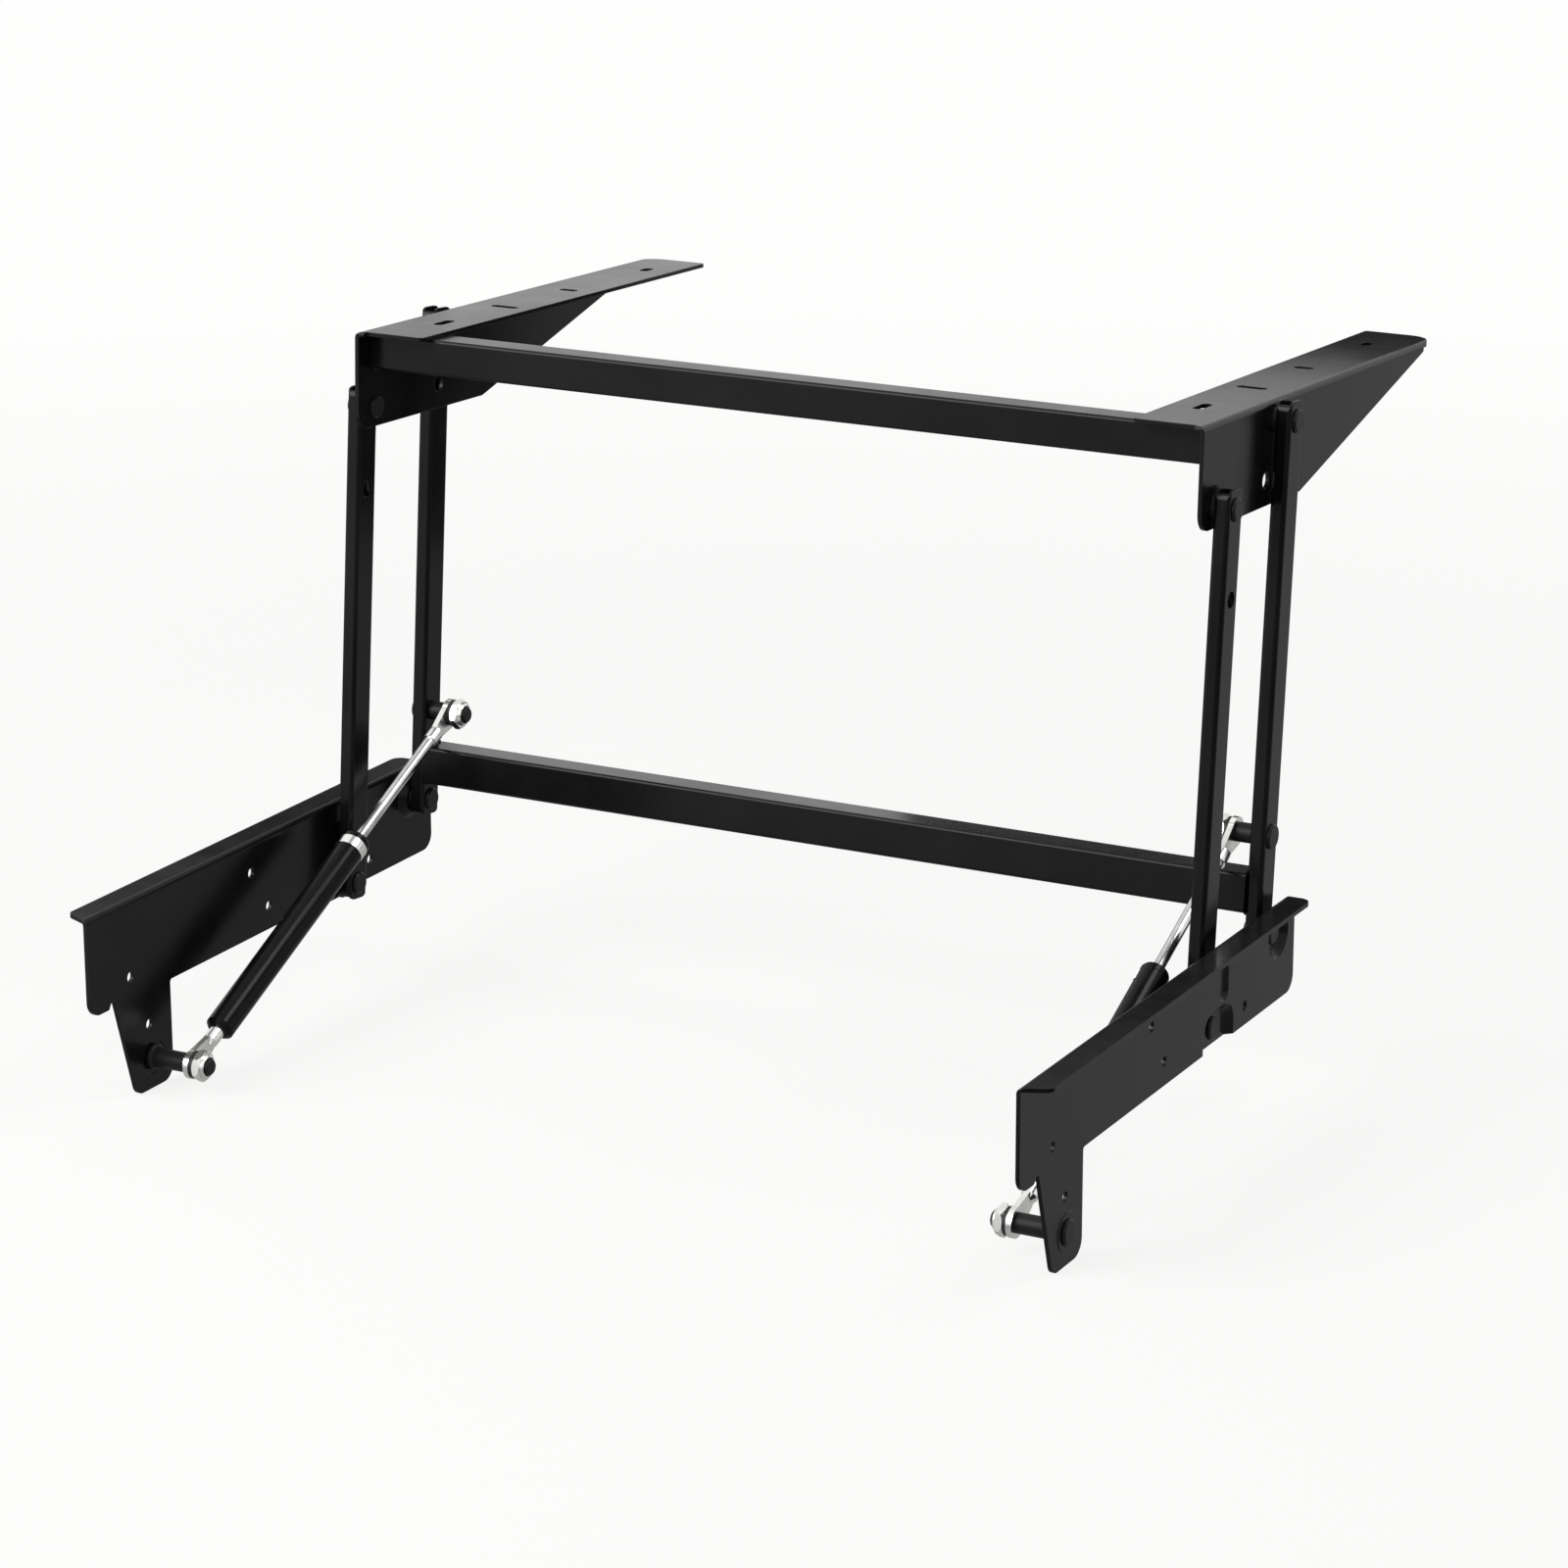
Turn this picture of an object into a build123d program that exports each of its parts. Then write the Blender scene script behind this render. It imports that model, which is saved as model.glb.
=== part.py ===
from build123d import *
import os
from math import acos, atan2, cos, degrees, hypot, radians, sin

# Lift top table mechanism.
# Two base brackets are screwed inside the cabinet. A front and a rear arm on each side carry
# two top brackets that hold the table top, and swing it up and towards the person who sits.
# The rear arms are tied by the lower crossbar and the top brackets by the upper crossbar.
# A gas strut on each side pushes the rear arms up.
# X runs across the cabinet, +Y points away from the sitter and +Z is up. The origin lies midway
# between the base brackets, level with their middle screw hole. Sizes are in millimetres and the
# pose is the raised one. The right side (+X) is modelled and the left is its mirror image.

# Sheet and tube stock
SHEET = 2.5
BEND_IN = 1.2
ARM_WIDTH = 20.0
ARM_DEPTH = 10.0
ARM_WALL = 1.5
ARM_CORNER = 2.5
ARM_END_CORNER = 6.0
ARM_LOWER_END = 10.0
ARM_UPPER_END = 12.0
LOWER_BAR = 24.0
UPPER_BAR = 22.0
BAR_WALL = 1.5
BAR_CORNER = 2.0

# Layers across the mechanism, outside to inside
BASE_OUT = 303.0
BASE_TO_ARM = 5.7
ARM_TO_WEB = 2.6
RUNNING = 0.1

# Linkage, in the side view: places of the base pivots and lengths between pivots
FRONT_BASE = (95.9, -31.6)
BASE_SPAN = (87.6, 31.7)
FRONT_ARM = 303.0
REAR_ARM_LONGER = 1.9
REAR_LEAN = 5.05
TOP_SPAN = (85.8, 37.5)
OPEN_PIVOT_PLAY = 2.2

# Base bracket, side view
FLANGE_TOP = 20.0
BASE_FLANGE = 18.0
BASE_FRONT = -171.5
BASE_REAR = 208.0
BASE_FLANGE_REAR = 196.5
BASE_BOTTOM = -41.3
TOE_REAR = -150.5
TOE_NOTCH = 3.5
LEG_BOTTOM = -103.5
LEG_FRONT_TOP = -147.0
LEG_FRONT_BOTTOM = -127.5
LEG_REAR = -89.8
SCREW_HOLE = 6.5
BASE_SCREWS = [(-130.0, -27.5), (-112.8, -62.5), (0.0, 0.0), (18.4, -26.4), (134.2, -29.3)]
PRESS_DEPTH = 4.2
PRESS_SLOPE = 45.0
FRONT_PAD = (44.0, 60.0)
FRONT_PAD_OVER = 13.2
FRONT_PAD_CORNER = 14.0
REAR_PAD = 30.0
RIB_AT = (103.0, -5.0)
RIB_SIZE = (13.0, 24.0)
RIB_DEPTH = 2.2
RIB_SLOPE = 55.0
STUD_SEAT = (24.0, 0.5)
SEAT_EDGE = 0.4

# Top bracket, in the frame of its flange: y along the flange, heights below the flange top
TOP_FLANGE = 46.0
FRONT_PIVOT_DEPTH = 49.2
WEB_FRONT = 90.5
WEB_DEPTH = 61.2
WEB_FRONT_CORNER = 11.0
WEB_KINK = 236.6
TIP_END = 431.5
TIP_DEPTH = 6.0
FLANGE_FRONT = 94.0
FLANGE_END = 450.0
FLANGE_END_CORNER = 17.0
TOP_HOLE_INSET = 27.2
SLOT_WIDTH = 6.5
TOP_SLOTS = [
    (150.0, 19.0, "along"),
    (222.8, 19.0, "across"),
    (302.5, 12.5, "across"),
    (404.3, 12.5, "along"),
]
WEB_HOLE_AT = (184.0, -45.9)
WEB_HOLE = 10.0
UPPER_BAR_FRONT = 104.0

# Rear frame
LOWER_BAR_UP = 24.0
STRUT_UP = 58.0
ARM_HOLE = 10.0
ARM_HOLE_DOWN = 52.0

# Pivot rivets, spacers and washers
RIVET = 8.0
RIVET_HEAD = 14.0
HEAD_THICK = 1.9
HEAD_EDGE = 1.0
SPACER = 16.0

# Gas strut
STRUT_PIN = (-110.0, -84.0)
STRUT_X = 271.7
TUBE = 18.0
TUBE_WALL = 1.25
TUBE_START = 29.0
TUBE_END = 200.5
TUBE_BEVEL = 3.0
BAND = 7.0
BAND_FOIL = 0.3
BAND_ARC = 180.0
BAND_TURNS = {"right": -144.0, "left": -36.0}
END_CAP = 5.5
CAP_BEVEL = 2.0
ROD = 7.0
ROD_START = 160.0
SHANK_AT_EYE = 28.5
SHANK = 9.5
GUIDE = 10.0
SEAL = 3.0
PISTON = 9.0
EYE = 18.0
EYE_THICK = 3.4
STUD = 10.0
SHOULDER_STEP = 1.0
STUD_FLANGE = (16.0, 3.0)
STUD_TAIL = 2.0
INSERT = 1.6
WASHER = 16.5
WASHER_THICK = 2.3
NUT = 17.0
NUT_HEX = 5.0
NUT_COLLAR = 2.0
ANCHOR_HEAD = 15.5
ANCHOR_GAP = 0.3

os.makedirs("parts", exist_ok=True)

# Places across the mechanism that follow from the layers
base_in = BASE_OUT - SHEET
arm_out = base_in - BASE_TO_ARM
arm_in = arm_out - ARM_DEPTH
arm_mid = arm_out - ARM_DEPTH / 2
web_out = arm_in - ARM_TO_WEB
web_in = web_out - SHEET
floor_in = base_in - PRESS_DEPTH
floor_out = floor_in + SHEET
bend_out = BEND_IN + SHEET

# The rear arm follows the front arm, because a linkage with arms that differ much cannot close
rear_length = FRONT_ARM + REAR_ARM_LONGER


def along(start, angle, distance):
    """The point at a distance from start, in a direction given by its angle from +Y."""
    return (start[0] + distance * cos(radians(angle)), start[1] + distance * sin(radians(angle)))


def bearing(start, end):
    """The angle from +Y of the line between two points of the side view."""
    return degrees(atan2(end[1] - start[1], end[0] - start[0]))


def close_linkage():
    """Where the upper pivots lie in the raised pose, and the tilt of the top brackets."""
    rear_base = (FRONT_BASE[0] + BASE_SPAN[0], FRONT_BASE[1] + BASE_SPAN[1])
    rear_top = along(rear_base, 90 - REAR_LEAN, rear_length)
    span = hypot(*TOP_SPAN)
    reach = hypot(rear_top[0] - FRONT_BASE[0], rear_top[1] - FRONT_BASE[1])
    opening = degrees(acos((FRONT_ARM**2 + reach**2 - span**2) / (2 * FRONT_ARM * reach)))
    front_top = along(FRONT_BASE, bearing(FRONT_BASE, rear_top) + opening, FRONT_ARM)
    tilt = bearing(front_top, rear_top) - bearing((0, 0), TOP_SPAN)
    return rear_base, front_top, rear_top, tilt


rear_base, front_top, rear_top, tilt = close_linkage()
front_arm_angle = bearing(FRONT_BASE, front_top)
rear_arm_angle = 90 - REAR_LEAN
strut_top = along(rear_base, rear_arm_angle, STRUT_UP)
strut_angle = bearing(STRUT_PIN, strut_top)
strut_length = hypot(strut_top[0] - STRUT_PIN[0], strut_top[1] - STRUT_PIN[1])


def outline(corners):
    """A face in a flat frame from corner points, each given as (x, y, corner radius)."""
    points = [(x, y) for x, y, radius in corners]
    radii = [radius for x, y, radius in corners]
    return make_face(FilletPolyline(*points, radius=radii, close=True))


def side_plate(corners, x_from, x_to):
    """A side view outline given a thickness across the mechanism."""
    return Pos(x_from, 0, 0) * extrude(Plane.YZ * outline(corners), x_to - x_from)


def turned(corners, centre=(0.0, 0.0)):
    """A part turned on the X axis from (x, radius, corner radius) points, then put on a pivot."""
    return Pos(0, *centre) * revolve(outline(corners), Axis.X)


def disc(x_from, x_to, diameter, centre, edge=0.0):
    """A plain round piece on a pivot, with its far edge bevelled."""
    radius = diameter / 2
    rim = x_to - edge if x_to > x_from else x_to + edge
    corners = [(x_from, 0, 0), (x_from, radius, 0), (rim, radius, 0)]
    if edge > 0:
        corners.append((x_to, radius - edge, 0))
    return turned(corners + [(x_to, 0, 0)], centre)


def ring(x_from, x_to, outer, bore, centre):
    """A washer or spacer on a pivot."""
    return disc(x_from, x_to, outer, centre) - disc(x_from, x_to, bore, centre)


def side_frame(x, point, angle):
    """A placement whose X axis runs along a side view angle and whose Z axis is the row's X."""
    direction = (0, cos(radians(angle)), sin(radians(angle)))
    return Plane(origin=(x, *point), x_dir=direction, z_dir=(1, 0, 0)).location


def mirrored(shape):
    """The same piece for the left side."""
    return mirror(shape, about=Plane.YZ)


def both_sides(shape):
    """Two identical pieces, one on each side, in one node."""
    return Compound(children=[shape, mirrored(shape)])


def save(name, shape):
    """Writes one node."""
    export_step(shape, f"parts/{name}.step")


def save_pair(name, shape):
    """Writes a right and a left node."""
    save(name + "_right", shape)
    save(name + "_left", mirrored(shape))


def angle_section(web_face, flange_edge, top, depth):
    """The bent sheet seen from its end: a web on one side of web_face and a flange at the top."""
    side = 1 if flange_edge > web_face else -1
    web_back = web_face + side * SHEET
    corners = [
        (web_face, top, bend_out),
        (flange_edge, top, 0),
        (flange_edge, top - SHEET, 0),
        (web_back, top - SHEET, BEND_IN),
        (web_back, top - depth, 0),
        (web_face, top - depth, 0),
    ]
    return outline(corners)


def bent_bracket(section, side_corners, plan_corners, y_from, y_to):
    """Folds an angle section along Y and trims it to its side and plan outlines."""
    length = y_to - y_from
    blank = Pos(0, y_to, 0) * extrude(Plane.XZ * section, length)
    reach = BASE_OUT + 2 * TOP_FLANGE
    side = side_plate(side_corners, 0, reach)
    plan = Pos(0, 0, -reach) * extrude(outline(plan_corners), 3 * reach)
    return blank & side & plan


# Base bracket
def base_side_view():
    """The side view of the plate, its toe and the leg that carries the strut."""
    return [
        (BASE_FRONT, FLANGE_TOP, 1.5),
        (BASE_FRONT, BASE_BOTTOM, 10),
        (TOE_REAR - 2, BASE_BOTTOM, 1),
        (TOE_REAR, BASE_BOTTOM + TOE_NOTCH, 1.2),
        (LEG_FRONT_TOP, BASE_BOTTOM + TOE_NOTCH, 1.2),
        (LEG_FRONT_BOTTOM, LEG_BOTTOM, 8),
        (LEG_REAR, LEG_BOTTOM, 10),
        (LEG_REAR, BASE_BOTTOM, 2),
        (BASE_REAR, BASE_BOTTOM, 10),
        (BASE_REAR, FLANGE_TOP - bend_out, 1.5),
        (BASE_FLANGE_REAR, FLANGE_TOP - bend_out, 1),
        (BASE_FLANGE_REAR, FLANGE_TOP, 0),
    ]


def base_plan_view():
    """The plan view: the flange has a rounded front corner and a rounded rear tip."""
    edge = base_in + BASE_FLANGE
    return [
        (base_in - 1, BASE_FRONT - 1, 0),
        (BASE_OUT, BASE_FRONT - 1, 0),
        (BASE_OUT, BASE_FRONT, 0),
        (edge, BASE_FRONT + 7, 6),
        (edge, BASE_FLANGE_REAR, 7),
        (BASE_OUT, BASE_FLANGE_REAR, 0),
        (BASE_OUT, BASE_REAR + 1, 0),
        (base_in - 1, BASE_REAR + 1, 0),
    ]


def pressing(shape, centre, depth, slope):
    """A shape pressed inwards: what it adds inside the plate, and the hollow that it leaves."""
    inside = Plane(origin=(base_in, *centre), x_dir=(0, 1, 0), z_dir=(-1, 0, 0))
    outside = Plane(origin=(BASE_OUT, *centre), x_dir=(0, 1, 0), z_dir=(-1, 0, 0))
    return extrude(inside * shape, depth, taper=slope), extrude(outside * shape, depth, taper=slope)


def pressings():
    """The two pads that carry the arms, and the short upright rib beside the front arm."""
    pad_middle = (FRONT_BASE[0], FRONT_BASE[1] + FRONT_PAD_OVER - FRONT_PAD[1] / 2)
    front_pad = RectangleRounded(*FRONT_PAD, FRONT_PAD_CORNER)
    rib = RectangleRounded(*RIB_SIZE, RIB_SIZE[0] / 2 - 0.01)
    return [
        pressing(front_pad, pad_middle, PRESS_DEPTH, PRESS_SLOPE),
        pressing(Circle(REAR_PAD / 2), rear_base, PRESS_DEPTH, PRESS_SLOPE),
        pressing(rib, RIB_AT, RIB_DEPTH, RIB_SLOPE),
    ]


def base_bracket():
    """The base bracket with its pads, rib, stud seat and holes."""
    depth = FLANGE_TOP - LEG_BOTTOM + 1
    section = angle_section(base_in, base_in + BASE_FLANGE, FLANGE_TOP, depth)
    plate = bent_bracket(section, base_side_view(), base_plan_view(), BASE_FRONT, BASE_REAR)
    trim = side_plate(base_side_view(), floor_in - 1, BASE_OUT + 1)
    for raised, hollow in pressings():
        plate = (plate + (raised & trim)) - hollow
    seat, seat_height = STUD_SEAT
    plate += disc(BASE_OUT, BASE_OUT + seat_height, seat, STRUT_PIN, SEAT_EDGE)
    plate -= disc(base_in - 1, base_in + seat_height, seat - SHEET, STRUT_PIN)
    for centre in (FRONT_BASE, rear_base):
        plate -= disc(floor_in - 1, floor_out + 1, RIVET, centre)
    for centre in BASE_SCREWS:
        plate -= disc(base_in - 1, BASE_OUT + 1, SCREW_HOLE, centre)
    plate -= disc(base_in - 1, BASE_OUT + 2, STUD, STRUT_PIN)
    return plate


# Top bracket, modelled level and then tilted with the linkage
def in_flange_frame(point):
    """A side view point in the frame of the tilted flange."""
    c, s = cos(radians(tilt)), sin(radians(tilt))
    return (point[0] * c + point[1] * s, point[1] * c - point[0] * s)


front_pivot = in_flange_frame(front_top)
rear_pivot = in_flange_frame(rear_top)
flange_top = front_pivot[1] + FRONT_PIVOT_DEPTH
to_tilt = Rot(tilt, 0, 0)


def top_side_view():
    """The side view of the web: a deep front end and a straight taper to the far tip."""
    return [
        (WEB_FRONT, flange_top, 1.5),
        (WEB_FRONT, flange_top - WEB_DEPTH, WEB_FRONT_CORNER),
        (WEB_KINK, flange_top - WEB_DEPTH, 1.5),
        (TIP_END, flange_top - TIP_DEPTH, 1.5),
        (TIP_END, flange_top - bend_out, 0),
        (FLANGE_END, flange_top - bend_out, 0),
        (FLANGE_END, flange_top, 0),
    ]


def top_plan_view():
    """The plan view of the flange: square front, cut back from the bend, and a rounded far corner."""
    edge = web_out - TOP_FLANGE
    return [
        (web_out + 1, WEB_FRONT - 1, 0),
        (web_in - bend_out, WEB_FRONT - 1, 0),
        (web_in - bend_out, FLANGE_FRONT, 0),
        (edge, FLANGE_FRONT, 3),
        (edge, FLANGE_END, 2),
        (web_out, FLANGE_END, FLANGE_END_CORNER),
        (web_out, TIP_END, 0),
        (web_out + 1, TIP_END, 0),
    ]


def flange_slot(y, length, direction):
    """A slot through the top flange, along it or across it."""
    slot = SlotOverall(length, SLOT_WIDTH)
    if direction == "along":
        slot = Rot(0, 0, 90) * slot
    x = web_out - TOP_HOLE_INSET
    return Pos(x, y, flange_top - SHEET - 1) * extrude(slot, SHEET + 2)


def top_bracket():
    """The top bracket with its slots and pivot holes."""
    section = angle_section(web_out, web_out - TOP_FLANGE, flange_top, WEB_DEPTH + 1)
    plate = bent_bracket(section, top_side_view(), top_plan_view(), WEB_FRONT - 1, FLANGE_END + 1)
    for y, length, direction in TOP_SLOTS:
        plate -= flange_slot(y, length, direction)
    y, drop = WEB_HOLE_AT
    plate -= disc(web_in - 1, web_out + 1, WEB_HOLE, (y, flange_top + drop))
    for pivot in (front_pivot, rear_pivot):
        plate -= disc(web_in - 1, web_out + 1, RIVET, pivot)
    return to_tilt * plate


# Arms and crossbars
def box_tube(width, depth, wall, corner, length):
    """A straight box tube along X, centred on its section."""
    outside = RectangleRounded(width, depth, corner)
    inside = Rectangle(width - 2 * wall, depth - 2 * wall)
    return extrude(Plane.YZ * (outside - inside), length)


def arm(length, low_hole, high_hole, other_holes):
    """A box tube arm with rounded ends, along X from its lower pivot."""
    whole = ARM_LOWER_END + length + ARM_UPPER_END
    tube = Pos(-ARM_LOWER_END, 0, 0) * box_tube(ARM_WIDTH, ARM_DEPTH, ARM_WALL, ARM_CORNER, whole)
    middle = (length + ARM_UPPER_END - ARM_LOWER_END) / 2
    side = Pos(middle, 0, -ARM_DEPTH) * RectangleRounded(whole, ARM_WIDTH, ARM_END_CORNER)
    tube &= extrude(side, 2 * ARM_DEPTH)
    for place, hole in [(0, low_hole), (length, high_hole)] + other_holes:
        tube -= Pos(place, 0, 0) * Cylinder(hole / 2, 2 * ARM_DEPTH)
    return tube


def front_arm():
    """The front arm. Its upper hole is wide, because that pivot is the open one of the linkage."""
    holes = [(FRONT_ARM - ARM_HOLE_DOWN, ARM_HOLE)]
    body = arm(FRONT_ARM, RIVET + 2 * RUNNING, RIVET + 2 * OPEN_PIVOT_PLAY, holes)
    return side_frame(arm_mid, FRONT_BASE, front_arm_angle) * body


def rear_arm():
    """The rear arm, with the hole for the strut's upper stud."""
    body = arm(rear_length, RIVET + 2 * RUNNING, RIVET + 2 * RUNNING, [(STRUT_UP, STUD)])
    return side_frame(arm_mid, rear_base, rear_arm_angle) * body


def lower_crossbar():
    """The square tube welded between the rear arms."""
    centre = along(rear_base, rear_arm_angle, LOWER_BAR_UP)
    bar = box_tube(LOWER_BAR, LOWER_BAR, BAR_WALL, BAR_CORNER, 2 * arm_in)
    return Pos(-arm_in, *centre) * (Rot(-REAR_LEAN, 0, 0) * bar)


def upper_crossbar():
    """The square tube welded between the top brackets, with its ends coped round their bends."""
    y = UPPER_BAR_FRONT + UPPER_BAR / 2
    z = flange_top - SHEET - UPPER_BAR / 2
    bar = box_tube(UPPER_BAR, UPPER_BAR, BAR_WALL, BAR_CORNER, 2 * web_in)
    bar = to_tilt * (Pos(-web_in, y, z) * bar)
    for bracket in (right_top_bracket, mirrored(right_top_bracket)):
        bar -= bracket
    return bar


# Pivots
def rivet(centre, outer_face, inner_face):
    """A shouldered rivet: a low bevelled head outside, the shank and the formed head inside."""
    head = RIVET_HEAD / 2
    shank = RIVET / 2
    corners = [
        (outer_face + HEAD_THICK, 0, 0),
        (outer_face + HEAD_THICK, head - HEAD_EDGE, 0),
        (outer_face + HEAD_THICK - HEAD_EDGE, head, 0),
        (outer_face, head, 0),
        (outer_face, shank, 0),
        (inner_face, shank, 0),
        (inner_face, head, 0),
        (inner_face - HEAD_THICK + HEAD_EDGE, head, 0),
        (inner_face - HEAD_THICK, head - HEAD_EDGE, 0),
        (inner_face - HEAD_THICK, 0, 0),
    ]
    return turned(corners, centre)


def lower_rivet(centre):
    """A rivet of the base: it holds an arm against a pressed pad."""
    return rivet(centre, floor_out, arm_in - RUNNING)


def upper_rivet(centre):
    """A rivet of the top bracket: it holds an arm against the web."""
    return rivet(centre, arm_out + RUNNING, web_in)


def pivot_washer(centre):
    """The washer between a pressed pad and the arm."""
    return ring(arm_out + RUNNING, floor_in, SPACER, RIVET, centre)


def pivot_spacer(centre):
    """The spacer between the web and the arm."""
    return ring(web_out, arm_in - RUNNING, SPACER, RIVET, centre)


# Studs, washers and nuts of the struts
eye_out = STRUT_X + EYE_THICK / 2
eye_in = STRUT_X - EYE_THICK / 2
shoulder_end = eye_out + RUNNING
washer_out = eye_in - RUNNING
washer_in = washer_out - WASHER_THICK
nut_face = washer_in - RUNNING
nut_end = nut_face - NUT_HEX - NUT_COLLAR
stud_end = nut_end - STUD_TAIL


def stud(centre, face, tail):
    """A shouldered stud: tail is its outer end, face is where its shoulder starts."""
    shoulder = STUD / 2 + SHOULDER_STEP
    thread = STUD / 2
    bevel = 0.8
    corners = [
        (face, 0, 0),
        (face, shoulder, 0),
        (shoulder_end, shoulder, 0),
        (shoulder_end, thread, 0),
        (stud_end + bevel, thread, 0),
        (stud_end, thread - bevel, 0),
        (stud_end, 0, 0),
    ]
    if tail > face:
        corners = [(tail, 0, 0), (tail, thread, 0), (face, thread, 0)] + corners[1:]
    return turned(corners, centre)


def stud_head(centre, face):
    """The riveted end of a stud on an outer face."""
    return disc(face, face + HEAD_THICK, ANCHOR_HEAD, centre, HEAD_EDGE)


def lower_stud():
    """The stud of the cylinder's eye. It ends just short of the leg, where the strut is open."""
    face = base_in - ANCHOR_GAP
    diameter, thick = STUD_FLANGE
    return stud(STRUT_PIN, face, face) + disc(face, face - thick, diameter, STRUT_PIN, HEAD_EDGE)


def anchor_head():
    """The riveted head and plug of the lower stud, which stay in the leg."""
    seat_height = STUD_SEAT[1]
    plug = disc(base_in + seat_height, BASE_OUT + seat_height, STUD, STRUT_PIN)
    return plug + stud_head(STRUT_PIN, BASE_OUT + seat_height)


def upper_stud():
    """The stud that is riveted through the rear arm."""
    return stud(strut_top, arm_in, arm_out) + stud_head(strut_top, arm_out)


def eye_washer(centre):
    """The washer between the eye and its nut."""
    return ring(washer_in, washer_out, WASHER, STUD, centre)


def lock_nut(centre, angle):
    """The lock nut: a bevelled hexagon and a round collar that holds the insert."""
    across = NUT / 2
    bevel = 1.2
    chamfered = turned([
        (nut_face, 0, 0),
        (nut_face, across, 0),
        (nut_face - bevel, across * 1.16, 0),
        (nut_face - NUT_HEX + bevel, across * 1.16, 0),
        (nut_face - NUT_HEX, across, 0),
        (nut_face - NUT_HEX, 0, 0),
    ])
    hexagon = RegularPolygon(across, 6, major_radius=False)
    prism = Pos(nut_face - NUT_HEX, 0, 0) * extrude(Plane.YZ * hexagon, NUT_HEX)
    collar = disc(nut_face - NUT_HEX, nut_end, NUT - 2.6, (0, 0), HEAD_EDGE)
    body = (prism & chamfered) + collar
    body -= disc(nut_face + 1, nut_end - 1, STUD, (0, 0))
    body -= disc(nut_end - 1, nut_end + INSERT, STUD + INSERT, (0, 0))
    return Pos(0, *centre) * (Rot(angle, 0, 0) * body)


def nut_insert(centre):
    """The plastic ring that stops the nut from working loose."""
    return ring(nut_end + 0.2, nut_end + INSERT, STUD + INSERT, STUD, centre)


# Gas strut, along X from the lower pin
to_strut = side_frame(STRUT_X, STRUT_PIN, strut_angle)
cap_end = TUBE_END + END_CAP
bore = TUBE - 2 * TUBE_WALL
shank_end = strut_length - SHANK_AT_EYE


def strut_tube():
    """The pressure tube, closed and rounded at its lower end."""
    radius = TUBE / 2
    inner = bore / 2
    floor = TUBE_START + 6
    return turned([
        (TUBE_START, 0, 0),
        (TUBE_START, radius - TUBE_BEVEL, 0),
        (TUBE_START + TUBE_BEVEL / 2, radius - TUBE_BEVEL / 2, 0),
        (TUBE_START + TUBE_BEVEL, radius, 0),
        (TUBE_END, radius, 0),
        (TUBE_END, inner, 0),
        (floor, inner, 0),
        (floor, 0, 0),
    ])


def strut_band(turn):
    """The bright foil band near the tube's upper end, half way round. turn is where its middle faces."""
    start = TUBE_END - BAND
    under = TUBE / 2 + RUNNING
    corners = [
        (start, under, 0),
        (start, under + BAND_FOIL, 0),
        (TUBE_END - RUNNING, under + BAND_FOIL, 0),
        (TUBE_END - RUNNING, under, 0),
    ]
    return Rot(turn - BAND_ARC / 2, 0, 0) * revolve(outline(corners), Axis.X, BAND_ARC)


def strut_cap():
    """The short cap that keeps dirt off the rod."""
    outer = TUBE / 2
    hole = ROD / 2 + RUNNING
    return turned([
        (TUBE_END, hole, 0),
        (TUBE_END, outer, 0),
        (cap_end - CAP_BEVEL, outer, 0),
        (cap_end - CAP_BEVEL / 3, outer - CAP_BEVEL / 3, 0),
        (cap_end, outer - CAP_BEVEL, 0),
        (cap_end, hole, 0),
    ])


def rod_guide():
    """The guide bush inside the tube's open end."""
    return ring(TUBE_END - GUIDE, TUBE_END, bore, ROD + 2 * RUNNING, (0, 0))


def rod_seal():
    """The seal under the guide bush."""
    return ring(TUBE_END - GUIDE - SEAL, TUBE_END - GUIDE, bore, ROD + 2 * RUNNING, (0, 0))


def strut_rod():
    """The bright piston rod."""
    return disc(ROD_START + PISTON, shank_end, ROD, (0, 0))


def strut_piston():
    """The piston on the rod's inner end, with a ring groove."""
    radius = bore / 2 - RUNNING
    groove = PISTON / 3
    return turned([
        (ROD_START, 0, 0),
        (ROD_START, radius, 0),
        (ROD_START + groove, radius, 0),
        (ROD_START + groove, radius - 1, 0),
        (ROD_START + 2 * groove, radius - 1, 0),
        (ROD_START + 2 * groove, radius, 0),
        (ROD_START + PISTON, radius, 0),
        (ROD_START + PISTON, 0, 0),
    ])


def eye_end(reach, socket):
    """A stamped eye whose flat blade narrows to a round shank that ends at reach from the pin."""
    blade_end = reach - socket
    ring_side = EYE / 2
    blade = outline([
        (0, -ring_side, 0),
        (blade_end, -SHANK / 2, 0),
        (blade_end, SHANK / 2, 0),
        (0, ring_side, 0),
    ])
    half = EYE_THICK / 2
    shape = Pos(0, 0, -half) * extrude(Circle(ring_side), EYE_THICK)
    shape += Pos(0, 0, -half) * extrude(blade, EYE_THICK)
    shank = turned([
        (blade_end - 3, 0, 0),
        (blade_end - 3, half, 0),
        (blade_end, SHANK / 2, 0),
        (reach, SHANK / 2, 0),
        (reach, 0, 0),
    ])
    bore_hole = Cylinder(STUD / 2 + RUNNING, 2 * EYE_THICK)
    return shape + shank - bore_hole


def lower_eye():
    """The eye at the foot of the tube."""
    return eye_end(TUBE_START, 9)


def upper_eye():
    """The eye at the end of the rod."""
    return Pos(strut_length, 0, 0) * (Rot(0, 180, 0) * eye_end(SHANK_AT_EYE, 9))


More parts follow.
